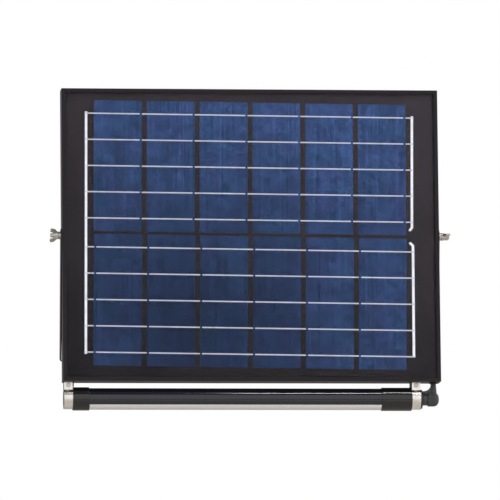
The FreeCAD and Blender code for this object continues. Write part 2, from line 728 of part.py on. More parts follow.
def bent_rod(points, radius, limit=None):
    """Round rod along straight runs that are joined by tangent arcs as large as the runs allow."""
    runs = [(b - a).Length for a, b in zip(points, points[1:])]
    edges = []
    start = points[0]
    for i in range(1, len(points) - 1):
        before = (points[i - 1] - points[i]).normalize()
        after = (points[i + 1] - points[i]).normalize()
        half = before.getAngle(after) / 2
        reach = 0.45 * min(runs[i - 1], runs[i])
        bend = reach * math.tan(half)
        if limit is not None:
            bend = min(bend, limit)
            reach = bend / math.tan(half)
        middle = (before + after).normalize()
        crown = points[i] + middle * (bend / math.sin(half) - bend)
        edges.append(Part.LineSegment(start, points[i] + before * reach).toShape())
        edges.append(Part.Arc(points[i] + before * reach, crown, points[i] + after * reach).toShape())
        start = points[i] + after * reach
        print("bend radius %.1f" % bend)
    edges.append(Part.LineSegment(start, points[-1]).toShape())
    path = Part.Wire(edges)
    section = Part.Wire(Part.makeCircle(radius, points[0], points[1] - points[0]))
    swept = path.makePipeShell([section], True, True)
    print("rod volume over section times length %.5f" % (swept.Volume / (math.pi * radius ** 2 * path.Length)))
    return swept


def elbow_plug():
    """Fluted, domed right-angle plug with a short boot that rises to the bottom rail."""
    body = turned_x([
        (ELBOW_X0, STUB_R + 0.1), (ELBOW_X0, ELBOW_R - 0.5, 0.5), (ELBOW_X0 + 1.4, ELBOW_R), (ELBOW_X1, ELBOW_R, 6.4),
        (ELBOW_X1, 0), (COLLAR_X1 + 9.4, 0), (COLLAR_X1 + 9.4, 2.75), (COLLAR_X1 + 6.4, 2.75),
        (COLLAR_X1 + 6.4, STUB_R + 0.1)])
    for k in range(FLUTES):
        angle = math.radians(360.0 * (k + 0.5) / FLUTES)
        y = TUBE_Y + (ELBOW_R + 0.45) * math.sin(angle)
        z = TUBE_Z + (ELBOW_R + 0.45) * math.cos(angle)
        body = body.cut(rod(0.8, (ELBOW_X0 + 1.6, y, z), (ELBOW_X1, y, z)))
    boot = turned_z([(0, TUBE_Z + 6.5), (4.2, TUBE_Z + 6.5), (3.2, -176.6, 0.4), (0, -176.6)], LEAD_X, TUBE_Y)
    web_edges = [
        Part.Arc(V(WEB_X, 1.0, -185.6), V(212.1, 1.0, -182.9), V(214.7, 1.0, -176.9)).toShape(),
        Part.LineSegment(V(214.7, 1.0, -176.9), V(LEAD_X, 1.0, -176.9)).toShape(),
        Part.LineSegment(V(LEAD_X, 1.0, -176.9), V(LEAD_X, 1.0, -187.1)).toShape(),
        Part.LineSegment(V(LEAD_X, 1.0, -187.1), V(WEB_X, 1.0, -187.1)).toShape(),
        Part.LineSegment(V(WEB_X, 1.0, -187.1), V(WEB_X, 1.0, -185.6)).toShape(),
    ]
    web = Part.Face(Part.Wire(web_edges)).extrude(V(0, 6.0, 0))
    lead_room = rod(LEAD_R, (LEAD_X, TUBE_Y, LEAD_POINTS[0][1]), (LEAD_X, TUBE_Y, -170.0))
    barrel_room = rod(STUB_R + 0.1, (ELBOW_X0, TUBE_Y, TUBE_Z), (COLLAR_X1 + 6.4, TUBE_Y, TUBE_Z))
    return body.fuse([boot, web]).cut([lead_room, barrel_room])


def plug_contact():
    return pipe(2.7, 1.1, (COLLAR_X1 + 1.5, TUBE_Y, TUBE_Z), (COLLAR_X1 + 9.4, TUBE_Y, TUBE_Z))


def plug_seal():
    """O-ring between the plug and the collar of the inlet."""
    return pipe(5.6, STUB_R + 0.1, (COLLAR_X1 + 0.05, TUBE_Y, TUBE_Z), (ELBOW_X0, TUBE_Y, TUBE_Z))


def light_lead():
    return bent_rod([V(x, TUBE_Y, z) for x, z in LEAD_POINTS], LEAD_R)


def frame_grommet():
    low = -PANEL_H / 2
    return turned_z([
        (LEAD_R, low - 1.2), (5.0, low - 1.2, 0.5), (5.0, low), (4.2, low), (4.2, low + WALL), (5.0, low + WALL),
        (5.0, low + WALL + 1.2, 0.5), (LEAD_R, low + WALL + 1.2)], LEAD_X, TUBE_Y)


def lead_clips():
    """One clip inside the right rail and one on the back of the laminate."""
    low, high = RAIL_CLIP_Z
    rail_clip = pipe(LEAD_R + 1.2, LEAD_R, (LEAD_X, TUBE_Y, low), (LEAD_X, TUBE_Y, high))
    rail_foot = box(LEAD_X + LEAD_R + 0.3, PANEL_W / 2 - WALL, TUBE_Y - 4, TUBE_Y + 4, low, high)
    low, high = SHEET_CLIP_Z
    sheet_clip = pipe(LEAD_R + 1.2, LEAD_R, (GLAND_X, TUBE_Y, low), (GLAND_X, TUBE_Y, high))
    sheet_stem = box(GLAND_X - 2, GLAND_X + 2, SHEET_BACK, TUBE_Y - LEAD_R - 0.3, low, high)
    sheet_foot = box(GLAND_X - 6, GLAND_X + 6, SHEET_BACK, SHEET_BACK + 1.2, low - 3, high + 3)
    return group([rail_clip.fuse(rail_foot), sheet_clip.fuse([sheet_stem, sheet_foot])])


# ---------------------------------------------------------------- control box

def tray(inset, y0, y1, corner=5.0):
    x0, x1 = BOX_X0 + inset, BOX_X1 - inset
    z0, z1 = BOX_Z0 + inset, BOX_Z1 - inset
    radius = max(corner - inset, 0.5)
    return prism([(x0, z0, radius), (x1, z0, radius), (x1, z1, radius), (x0, z1, radius)],
                 lambda x, z: V(x, y0, z), V(0, y1 - y0, 0))


SCREW_INSET = 6.5


def lid_screw_spots():
    return [(x, z) for x in (BOX_X0 + SCREW_INSET, BOX_X1 - SCREW_INSET)
            for z in (BOX_Z0 + SCREW_INSET, BOX_Z1 - SCREW_INSET)]


BOARD_X0 = 146.0
BOARD_X1 = 193.0
BOARD_Z0 = -31.0
BOARD_Z1 = 40.0


def board_screw_spots():
    return [(x, z) for x in (BOARD_X0 + 4, BOARD_X1 - 4) for z in (BOARD_Z0 + 4, BOARD_Z1 - 4)]


def ribbon_window(y0, y1):
    return box(EXIT_X - 4, EXIT_X + 3, y0, y1, -12.0, 9.5)


def box_tape():
    return tray(2.0, SHEET_BACK, BOX_FRONT).cut(ribbon_window(SHEET_BACK - 1, BOX_FRONT + 1))


def box_base():
    shell = tray(0, BOX_FRONT, BOX_RIM).cut(tray(BOX_WALL, FLOOR, BOX_RIM + 1))
    posts = [rod(4.2, (x, FLOOR, z), (x, BOX_RIM, z)) for x, z in lid_screw_spots()]
    posts += [rod(2.6, (x, FLOOR, z), (x, BOARD_Y, z)) for x, z in board_screw_spots()]
    shell = shell.fuse(posts)
    holes = [rod(1.5, (x, BOX_RIM - 12, z), (x, BOX_RIM + 1, z)) for x, z in lid_screw_spots()]
    holes += [rod(1.2, (x, BOARD_Y - 4, z), (x, BOARD_Y + 1, z)) for x, z in board_screw_spots()]
    holes.append(rod(6.0, (GLAND_X, TUBE_Y, BOX_Z0 - 1), (GLAND_X, TUBE_Y, BOX_Z0 + BOX_WALL + 1)))
    holes.append(ribbon_window(BOX_FRONT - 1, FLOOR + 1))
    return shell.cut(holes)


def box_gasket():
    return tray(0.4, BOX_RIM, BOX_RIM + GASKET_T).cut(tray(2.2, BOX_RIM - 1, BOX_RIM + GASKET_T + 1))


LID_Y0 = BOX_RIM + GASKET_T
LID_Y1 = LID_Y0 + LID_T


def box_lid():
    lid = tray(0, LID_Y0, LID_Y1)
    rims = [edge for edge in lid.Edges if abs(edge.CenterOfMass.y - LID_Y1) < 1e-6]
    lid = lid.makeFillet(1.0, rims)
    holes = [rod(BUTTON_R + 0.3, (BUTTON_X, LID_Y0 - 1, BUTTON_Z), (BUTTON_X, LID_Y1 + 1, BUTTON_Z)),
             rod(2.5, (LENS_X, LID_Y0 - 1, LENS_Z), (LENS_X, LID_Y1 + 1, LENS_Z))]
    for x, z in lid_screw_spots():
        holes.append(rod(1.6, (x, LID_Y0 - 1, z), (x, LID_Y1 + 1, z)))
        holes.append(rod(2.9, (x, LID_Y1 - 1.7, z), (x, LID_Y1 + 1, z)))
    return lid.cut(holes)


def lid_screws():
    screws = []
    for x, z in lid_screw_spots():
        head = turned_y([(0, LID_Y1 - 1.7), (2.8, LID_Y1 - 1.7), (2.8, LID_Y1 - 0.1, 0.4), (0, LID_Y1 - 0.1)], x, z)
        slots = [box(x - 1.7, x + 1.7, LID_Y1 - 1.0, LID_Y1, z - 0.35, z + 0.35),
                 box(x - 0.35, x + 0.35, LID_Y1 - 1.0, LID_Y1, z - 1.7, z + 1.7)]
        shank = rod(1.45, (x, BOX_RIM - 11, z), (x, LID_Y1 - 1.7, z))
        screws.append(head.fuse(shank).cut(slots))
    return group(screws)


CELL18_R = 9.2
CELL18_PITCH = 19.2
CELL18_X = 93.0
CELL18_Z0 = -26.5
CELL18_Z1 = 38.5
HOLDER_T = 1.5
CONTACT_T = 0.4


def battery_xs():
    return [CELL18_X + k * CELL18_PITCH for k in range(3)]


def battery_cells():
    y = FLOOR + HOLDER_T + CELL18_R
    cells = []
    for x in battery_xs():
        can = turned_z([(0, CELL18_Z0), (CELL18_R, CELL18_Z0, 0.6), (CELL18_R, CELL18_Z1 - 1, 0.8),
                        (3.0, CELL18_Z1 - 1), (3.0, CELL18_Z1, 0.3), (0, CELL18_Z1)], x, y)
        cells.append(can)
    return group(cells)


def battery_holder():
    x0 = CELL18_X - CELL18_R - 1
    x1 = battery_xs()[-1] + CELL18_R + 1
    z0 = CELL18_Z0 - CONTACT_T
    z1 = CELL18_Z1 + CONTACT_T
    floor = box(x0, x1, FLOOR, FLOOR + HOLDER_T, z0 - 2, z1 + 2)
    walls = [box(x0, x1, FLOOR, FLOOR + 14, z0 - 2, z0), box(x0, x1, FLOOR, FLOOR + 14, z1, z1 + 2)]
    return floor.fuse(walls)


def battery_contacts():
    y0 = FLOOR + HOLDER_T + 4
    plates = []
    for x in battery_xs():
        for z in (CELL18_Z0 - CONTACT_T, CELL18_Z1):
            plates.append(box(x - 5, x + 5, y0, y0 + 9, z, z + CONTACT_T))
    return group(plates)


def controller_board():
    board = box(BOARD_X0, BOARD_X1, BOARD_Y, BOARD_Y + BOARD_T, BOARD_Z0, BOARD_Z1)
    holes = [rod(1.3, (x, BOARD_Y - 1, z), (x, BOARD_Y + BOARD_T + 1, z)) for x, z in board_screw_spots()]
    return board.cut(holes)


def board_screws():
    top = BOARD_Y + BOARD_T
    screws = []
    for x, z in board_screw_spots():
        head = turned_y([(0, top), (2.2, top), (2.2, top + 1.5, 0.5), (0, top + 1.5)], x, z)
        screws.append(head.fuse(rod(1.15, (x, BOARD_Y - 3.5, z), (x, top, z))))
    return group(screws)


def board_components():
    top = BOARD_Y + BOARD_T
    coil = pipe(5.5, 2.5, (158, top, 24), (158, top + 5, 24))
    chips = [box(164, 174, top, top + 1.6, -8, -2), box(152, 158, top, top + 1.8, -4, 4)]
    cans = [rod(3.2, (x, top, -14), (x, top + 8, -14)) for x in (154, 163)]
    switch = box(BUTTON_X - 3, BUTTON_X + 3, top, top + SWITCH_T, BUTTON_Z - 3, BUTTON_Z + 3)
    return group([coil, switch] + chips + cans)


def terminal_block():
    top = BOARD_Y + BOARD_T
    block = box(176, 188, top, top + 8.5, -25, -17)
    ports = [box(x - 1.6, x + 1.6, top + 1.5, top + 5.5, -26, -20) for x in (179, 185)]
    return block.cut(ports)


def power_button():
    """Domed button that is pressed into the lid by BUTTON_TRAVEL."""
    stem_end = BOARD_Y + BOARD_T + SWITCH_T + BUTTON_TRAVEL + 0.3
    flange = LID_Y0 - 0.3
    return turned_y([
        (0, stem_end), (2.0, stem_end, 0.3), (2.0, flange - 1.6), (BUTTON_R + 1.2, flange - 1.6),
        (BUTTON_R + 1.2, flange), (BUTTON_R, flange), (BUTTON_R, LID_Y1 + 2.0, 1.2), (0, LID_Y1 + 2.0)],
        BUTTON_X, BUTTON_Z)


def status_lens():
    """Light pipe from the board to a small window in the lid."""
    return turned_y([
        (0, 7.0), (1.4, 7.0), (1.4, LID_Y0 - 1.0), (3.4, LID_Y0 - 1.0), (3.4, LID_Y0), (2.45, LID_Y0),
        (2.45, LID_Y1 + 0.4, 0.5), (0, LID_Y1 + 0.4)], LENS_X, LENS_Z)


def lead_gland():
    """Cable gland body through the bottom wall of the box, with its hexagonal flange outside."""
    collar = hexagon(15.0, (GLAND_X, TUBE_Y, BOX_Z0 - 4), (GLAND_X, TUBE_Y, BOX_Z0))
    thread = rod(5.95, (GLAND_X, TUBE_Y, BOX_Z0 - 12), (GLAND_X, TUBE_Y, BOX_Z0 + 7.5))
    bore = rod(LEAD_R, (GLAND_X, TUBE_Y, BOX_Z0 - 13), (GLAND_X, TUBE_Y, BOX_Z0 + 8))
    return collar.fuse(thread).cut(bore)


def gland_cap():
    cap = turned_z([
        (6.0, BOX_Z0 - 4.2), (8.2, BOX_Z0 - 4.2, 0.4), (8.2, BOX_Z0 - 10), (4.2, BOX_Z0 - 15, 1.5),
        (LEAD_R, BOX_Z0 - 15), (LEAD_R, BOX_Z0 - 12), (6.0, BOX_Z0 - 12)], GLAND_X, TUBE_Y)
    for k in range(12):
        angle = math.radians(30 * k)
        x = GLAND_X + 8.7 * math.cos(angle)
        y = TUBE_Y + 8.7 * math.sin(angle)
        cap = cap.cut(rod(0.8, (x, y, BOX_Z0 - 9), (x, y, BOX_Z0 - 3)))
    return cap


def gland_nut():
    floor = BOX_Z0 + BOX_WALL
    ends = ((GLAND_X, TUBE_Y, floor), (GLAND_X, TUBE_Y, floor + 3.5))
    return hexagon(15.0, *ends).cut(rod(6.0, *ends))


# ---------------------------------------------------------------- assembly

BRACKET_NODES = {
    "u_bracket": u_bracket,
    "pivot_washers": pivot_washers,
    "spring_washers": spring_washers,
}

PANEL_NODES = {
    "wing_nut_left": lambda: wing_nut("left"),
    "wing_nut_right": lambda: wing_nut("right"),
    "pivot_bolts": pivot_bolts,
    "top_rail": lambda: placed_rail(PANEL_W, PANEL_H / 2, 2),
    "bottom_rail": bottom_rail,
    "left_rail": lambda: side_rail(-1),
    "right_rail": lambda: side_rail(1),
    "corner_keys": corner_keys,
    "frame_rivets": frame_rivets,
    "edge_seal": edge_seal,
    "cover_glass": cover_glass,
    "solar_cells": solar_cells,
    "tab_ribbons": tab_ribbons,
    "bus_ribbons": bus_ribbons,
    "rear_film": rear_film,
    "backsheet": backsheet,
    "left_clamp_band": lambda: band(LEFT_BAND_X),
    "right_clamp_band": lambda: band(RIGHT_BAND_X),
    "hanger_blocks": hanger_blocks,
    "hanger_nuts": hanger_nuts,
    "clamp_screws": clamp_screws,
    "clamp_nuts": clamp_nuts,
    "tube_housing": tube_housing,
    "tube_cover": tube_cover,
    "led_board": led_board,
    "led_chips": led_chips,
    "end_stops": end_stops,
    "left_end_cap": left_end_cap,
    "right_end_cap": right_end_cap,
    "cap_seals": cap_seals,
    "inlet_socket": inlet_socket,
    "socket_pin": socket_pin,
    "socket_nut": socket_nut,
    "tube_wires": tube_wires,
    "elbow_plug": elbow_plug,
    "plug_contact": plug_contact,
    "plug_seal": plug_seal,
    "light_lead": light_lead,
    "frame_grommet": frame_grommet,
    "lead_clips": lead_clips,
    "box_tape": box_tape,
    "box_base": box_base,
    "box_gasket": box_gasket,
    "box_lid": box_lid,
    "lid_screws": lid_screws,
    "battery_cells": battery_cells,
    "battery_holder": battery_holder,
    "battery_contacts": battery_contacts,
    "controller_board": controller_board,
    "board_screws": board_screws,
    "board_components": board_components,
    "terminal_block": terminal_block,
    "power_button": power_button,
    "status_lens": status_lens,
    "lead_gland": lead_gland,
    "gland_cap": gland_cap,
    "gland_nut": gland_nut,
}


def lean_back(shape):
    """From the panel's frame to the row frame."""
    shape.rotate(V(0, 0, 0), X_AXIS, -REST_TILT)
    shape.translate(V(0, 0, PIVOT_HEIGHT))
    return shape


def main():
    os.makedirs("parts", exist_ok=True)
    for name, make in BRACKET_NODES.items():
        make().exportStep("parts/%s.step" % name)
    for name, make in PANEL_NODES.items():
        lean_back(make()).exportStep("parts/%s.step" % name)


main()
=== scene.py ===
import math
import bmesh
import bpy
from mathutils import Matrix, Vector


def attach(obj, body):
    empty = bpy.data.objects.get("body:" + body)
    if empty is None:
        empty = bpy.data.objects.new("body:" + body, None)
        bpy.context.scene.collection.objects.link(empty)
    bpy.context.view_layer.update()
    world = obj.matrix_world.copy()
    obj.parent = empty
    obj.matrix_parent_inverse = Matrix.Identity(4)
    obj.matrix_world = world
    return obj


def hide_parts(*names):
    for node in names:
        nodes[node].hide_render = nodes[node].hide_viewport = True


MM = 0.001
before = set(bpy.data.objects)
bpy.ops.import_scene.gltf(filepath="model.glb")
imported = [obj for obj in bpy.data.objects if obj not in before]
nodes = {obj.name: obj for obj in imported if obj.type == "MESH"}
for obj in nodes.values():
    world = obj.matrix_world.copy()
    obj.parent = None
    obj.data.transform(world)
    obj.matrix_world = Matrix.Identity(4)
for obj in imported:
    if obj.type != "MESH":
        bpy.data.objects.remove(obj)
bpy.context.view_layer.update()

# The panel leans back on its bracket; its own frame is square to the glass, with the origin on the tilt axis
LEAN = math.radians(9.0)
PIVOT = Vector((0, 0, 0.150))
PANEL_TO_ROW = Matrix.Translation(PIVOT) @ Matrix.Rotation(-LEAN, 4, "X")
ROW_TO_PANEL = PANEL_TO_ROW.inverted()
# The cells are laid a little askew in the panel
ARRAY_TURN = math.radians(0.64)
ARRAY_SHIFT = Vector((-0.7, 0, 0.6)) * MM
ARRAY_TO_PANEL = Matrix.Translation(ARRAY_SHIFT) @ Matrix.Rotation(ARRAY_TURN, 4, "Y")
ROW_TO_ARRAY = ARRAY_TO_PANEL.inverted() @ ROW_TO_PANEL
COLUMN_PITCH = 63.2 * MM
ARRAY_LEFT = -189.6 * MM
FINGER_PITCH = 1.9 * MM

# Places on the object in the panel's frame, in millimetres
TUBE_R = 12.85
TUBE_Y = 4.0
TUBE_Z = -194.8
FRAME_FRONT = -12.5

# Stretch of a texture: drawn along the tube or rail, or round a band
ALONG_X = (0.012, 1, 1)
ALONG_Z = (1, 1, 0.012)
BRUSHED = (1, 0.03, 0.03)


# ---------------------------------------------------------------- shader helpers

class Finish:
    """A procedural material: one Principled shader and the nodes that feed it."""

    def __init__(self, name, color, roughness, metallic=0.0, **constants):
        self.material = bpy.data.materials.new(name)
        self.material.use_nodes = True
        self.tree = self.material.node_tree
        self.tree.nodes.clear()
        self.output = self.node("ShaderNodeOutputMaterial")
        self.shader = self.node("ShaderNodeBsdfPrincipled")
        self.tree.links.new(self.shader.outputs[0], self.output.inputs["Surface"])
        self.set("Base Color", (*color, 1.0))
        self.set("Roughness", roughness)
        self.set("Metallic", metallic)
        for key, value in constants.items():
            self.set(key.replace("_", " "), value)

    def node(self, kind, **settings):
        made = self.tree.nodes.new(kind)
        for key, value in settings.items():
            setattr(made, key, value)
        return made

    def set(self, socket, value):
        """Puts a number, a colour or another node's output on a socket of the shader."""
        self.plug(value, self.shader.inputs[socket])

    def plug(self, value, socket):
        if isinstance(value, bpy.types.NodeSocket):
            self.tree.links.new(value, socket)
        else:
            socket.default_value = value

    def place(self, matrix=None, scale=(1, 1, 1)):
        """Position on the object in metres, in the row frame or in another one."""
        at = self.node("ShaderNodeTexCoord").outputs["Object"]
        if matrix is not None:
            move = self.node("ShaderNodeMapping")
            move.inputs["Location"].default_value = matrix.to_translation()
            move.inputs["Rotation"].default_value = matrix.to_euler("XYZ")
            self.plug(at, move.inputs["Vector"])
            at = move.outputs[0]
        if tuple(scale) != (1, 1, 1):
            stretch = self.node("ShaderNodeMapping")
            stretch.inputs["Scale"].default_value = scale
            self.plug(at, stretch.inputs["Vector"])
            at = stretch.outputs[0]
        return at

    def noise(self, at, size, detail=3.0):
        made = self.node("ShaderNodeTexNoise")
        self.plug(at, made.inputs["Vector"])
        made.inputs["Scale"].default_value = 1.0 / size
        made.inputs["Detail"].default_value = detail
        made.inputs["Roughness"].default_value = 0.55
        return made.outputs[0]

    def math(self, operation, *values):
        made = self.node("ShaderNodeMath", operation=operation)
        for value, socket in zip(values, made.inputs):
            self.plug(value, socket)
        return made.outputs[0]

    def span(self, value, low, high, out_low, out_high):
        """Straight-line map of a number from one range to another, held at its ends."""
        made = self.node("ShaderNodeMapRange")
        keys = ("Value", "From Min", "From Max", "To Min", "To Max")
        for given, key in zip((value, low, high, out_low, out_high), keys):
            self.plug(given, made.inputs[key])
        return made.outputs[0]

    def blend(self, share, first, second, mode="MIX"):
        made = self.node("ShaderNodeMix", data_type="RGBA", blend_type=mode)
        self.plug(share, made.inputs[0])
        for value, index in ((first, 6), (second, 7)):
            self.plug(value if isinstance(value, bpy.types.NodeSocket) else (*value, 1.0), made.inputs[index])
        return made.outputs[2]

    def scaled(self, color, factor):
        """A colour made lighter or darker by a number that varies over the surface."""
        grey = self.node("ShaderNodeCombineColor")
        for socket in grey.inputs:
            self.plug(factor, socket)
        return self.blend(1.0, color, grey.outputs[0], "MULTIPLY")

    def axes(self, at):
        """The three coordinates of a position."""
        parts = self.node("ShaderNodeSeparateXYZ")
        self.plug(at, parts.inputs[0])
        return parts.outputs

    def bump(self, height, distance, strength=1.0):
        made = self.node("ShaderNodeBump")
        made.inputs["Strength"].default_value = strength
        made.inputs["Distance"].default_value = distance
        self.plug(height, made.inputs["Height"])
        return made.outputs[0]

    def see_through_for_lamps(self):
        """Lets light from the lamps through, so that what is behind the pane is lit."""
        path = self.node("ShaderNodeLightPath")
        clear = self.node("ShaderNodeBsdfTransparent")
        either = self.node("ShaderNodeMixShader")
        self.plug(path.outputs["Is Shadow Ray"], either.inputs[0])
        self.plug(self.shader.outputs[0], either.inputs[1])
        self.plug(clear.outputs[0], either.inputs[2])
        self.plug(either.outputs[0], self.output.inputs["Surface"])


def surface(name, color, roughness, metallic=0.0, grain=0.8 * MM, height=0.03 * MM, mottle=0.12,
            cloud=18 * MM, stretch=(1, 1, 1), matrix=None, rough_spread=0.08, **constants):
    """Moulded, painted, anodised or brushed finish: clouds of tone, grain in the gloss, and a fine bump."""
    made = Finish(name, color, roughness, metallic, **constants)
    at = made.place(matrix)
    fine_at = made.place(matrix, stretch)
    clouds = made.noise(at, cloud, 4.0)
    fine = made.noise(fine_at, grain, 3.0)
    tone = made.span(made.math("ADD", made.math("MULTIPLY", clouds, 0.7), made.math("MULTIPLY", fine, 0.3)),
                     0.25, 0.75, 1.0 - mottle, 1.0 + mottle)
    made.set("Base Color", made.scaled(color, tone))
    made.set("Roughness", made.span(fine, 0.3, 0.7, roughness - rough_spread, roughness + rough_spread))
    made.set("Normal", made.bump(fine, height))
    return made.material


# ---------------------------------------------------------------- materials

def cell_material():
    """Polycrystalline silicon: grains, blotches and streaks, a tone for each cell, a painted reflection that
    darkens the cells towards a place low and left, and silver fingers.
    """
    violet, teal, silver = (0.0245, 0.0415, 0.114), (0.0205, 0.0440, 0.111), (0.26, 0.31, 0.42)
    made = Finish("cell_blue", (0.0225, 0.0415, 0.108), 0.42, Specular_IOR_Level=0.02)
    at = made.place(ROW_TO_ARRAY)
    x, _, z = made.axes(at)

    warp = made.node("ShaderNodeMix", data_type="VECTOR")
    swirl = made.node("ShaderNodeTexNoise")
    made.plug(at, swirl.inputs["Vector"])
    swirl.inputs["Scale"].default_value = 1 / (6 * MM)
    warp.inputs[0].default_value = 0.004
    made.plug(at, warp.inputs[4])
    made.plug(swirl.outputs["Color"], warp.inputs[5])
    tones = []
    for size in (3.2 * MM, 9.0 * MM):
        grains = made.node("ShaderNodeTexVoronoi", feature="F1")
        made.plug(warp.outputs[1], grains.inputs["Vector"])
        grains.inputs["Scale"].default_value = 1 / size
        shade = made.node("ShaderNodeSeparateColor")
        made.plug(grains.outputs["Color"], shade.inputs[0])
        tones.append(shade.outputs[0])
    grain = made.math("ADD", made.math("MULTIPLY", tones[0], 0.55),
                      made.math("MULTIPLY", tones[1], 0.45))
    tone = made.span(grain, 0.1, 0.9, 0.76, 1.26)

    number = made.node("ShaderNodeTexWhiteNoise", noise_dimensions="2D")
    where = made.node("ShaderNodeCombineXYZ")
    column = made.math("FLOOR", made.math("DIVIDE", made.math("SUBTRACT", x, ARRAY_LEFT), COLUMN_PITCH))
    made.plug(column, where.inputs["X"])
    made.plug(made.math("SIGN", z), where.inputs["Y"])
    made.plug(where.outputs[0], number.inputs["Vector"])
    tone = made.math("MULTIPLY", tone, made.span(number.outputs["Value"], 0, 1, 0.90, 1.08))
    clouds = made.noise(at, 26 * MM, 4.0)
    tone = made.math("MULTIPLY", tone, made.span(clouds, 0.3, 0.7, 0.87, 1.13))
    streaks = made.noise(made.place(ROW_TO_ARRAY, ALONG_Z), 1.6 * MM, 3.0)
    tone = made.math("MULTIPLY", tone, made.span(streaks, 0.3, 0.7, 0.72, 1.28))
    # Painted reflection: the cells are painted darker towards a place low and left of the middle and lighter
    # away from it, in an oval that wide and high, standing in for the glass's reflection
    painted_dark_x, painted_dark_z, wide, high = -60 * MM, -105 * MM, 260 * MM, 190 * MM
    across = made.math("DIVIDE", made.math("SUBTRACT", x, painted_dark_x), wide)
    down = made.math("DIVIDE", made.math("SUBTRACT", z, painted_dark_z), high)
    squares = made.math("ADD", made.math("MULTIPLY", across, across), made.math("MULTIPLY", down, down))
    tone = made.math("MULTIPLY", tone, made.span(made.math("SQRT", squares), 0.15, 1.3, 0.42, 1.15))
    hue_clouds = made.span(made.noise(at, 34 * MM, 3.0), 0.38, 0.62, 0.0, 1.0)
    color = made.scaled(made.blend(hue_clouds, violet, teal), tone)

    ridge = made.math("PINGPONG", x, FINGER_PITCH / 2)
    finger = made.span(ridge, 0.10 * MM, 0.22 * MM, 1.0, 0.0)
    color = made.blend(made.math("MULTIPLY", finger, 0.07), color, silver)
    made.set("Base Color", color)
    made.set("Roughness", made.span(grain, 0, 1, 0.34, 0.5))
    made.set("Normal", made.bump(finger, 0.01 * MM, 0.3))
    return made.material


def ribbon_material(name, bright, dark):
    """Tinned copper, soft-soldered to the cells, so its tin is a little lumpy and dull in places."""
    made = Finish(name, bright, 0.34, 0.3)
    at = made.place(ROW_TO_ARRAY)
    dull = made.noise(at, 9 * MM, 4.0)
    lumps = made.noise(at, 0.9 * MM, 3.0)
    made.set("Base Color", made.blend(made.span(dull, 0.45, 0.72, 0.0, 0.7), bright, dark))
    made.set("Roughness", made.span(dull, 0.3, 0.7, 0.26, 0.48))
    made.set("Normal", made.bump(lumps, 0.05 * MM))
    return made.material


def film_material(name, color):
    """Black laminating film, faintly specked, with a painted reflection that lightens it towards its upper
    right.
    """
    made = Finish(name, color, 0.5, Specular_IOR_Level=0.1)
    at = made.place(ROW_TO_PANEL)
    x, _, z = made.axes(at)
    # Painted reflection: the colour is painted lighter towards the upper right and darker towards the lower
    # left
    painted_reflection = made.math("ADD", made.math("MULTIPLY", x, 0.9), made.math("MULTIPLY", z, 2.6))
    clouds = made.noise(at, 45 * MM, 4.0)
    speck = made.noise(at, 1.4 * MM, 2.0)
    tone = made.math("ADD", made.span(painted_reflection, -0.6, 0.6, 0.40, 1.40),
                     made.span(clouds, 0.3, 0.7, -0.12, 0.12))
    tone = made.math("ADD", tone, made.span(speck, 0.3, 0.7, -0.10, 0.10))
    made.set("Base Color", made.scaled(color, tone))
    made.set("Roughness", made.span(speck, 0.3, 0.7, 0.42, 0.6))
    made.set("Normal", made.bump(speck, 0.03 * MM))
    return made.material


def glass_material():
    """Low-iron tempered glass with an anti-reflection coat."""
    made = Finish("clear_glass", (0.97, 0.985, 0.985), 0.03, Transmission_Weight=1.0, IOR=1.08)
    dust = made.noise(made.place(ROW_TO_PANEL), 14 * MM, 5.0)
    made.set("Roughness", made.span(dust, 0.35, 0.7, 0.02, 0.05))
    made.see_through_for_lamps()
    return made.material


def cover_material():
    """Opal polycarbonate with fine lengthwise extrusion lines, and painted shade that darkens it towards its
    underside.
    """
    made = Finish("tube_clear", (0.90, 0.89, 0.86), 0.3, Transmission_Weight=0.05, IOR=1.4)
    z = made.axes(made.place(ROW_TO_PANEL))["Z"]
    lines = made.noise(made.place(ROW_TO_PANEL, ALONG_X), 0.7 * MM, 2.0)
    # Painted shade: the colour is painted darker from 8 mm below the tube's axis down to its lowest line
    lowest, light_above = (TUBE_Z - TUBE_R) * MM, (TUBE_Z - 8) * MM
    painted_underside_shade = made.span(z, lowest, light_above, 0.74, 1.0)
    tone = made.math("MULTIPLY", painted_underside_shade, made.span(lines, 0.3, 0.7, 0.95, 1.05))
    made.set("Base Color", made.scaled((0.93, 0.915, 0.88), tone))
    made.set("Roughness", made.span(lines, 0.35, 0.7, 0.22, 0.36))
    made.set("Normal", made.bump(lines, 0.01 * MM))
    return made.material


def lens_material():
    """Clear status lens with slight unevenness."""
    made = Finish("lens_clear", (0.86, 0.86, 0.86), 0.12, Transmission_Weight=0.8, IOR=1.45)
    made.set("Roughness", made.span(made.noise(made.place(), 2 * MM), 0.3, 0.7, 0.08, 0.2))
    return made.material


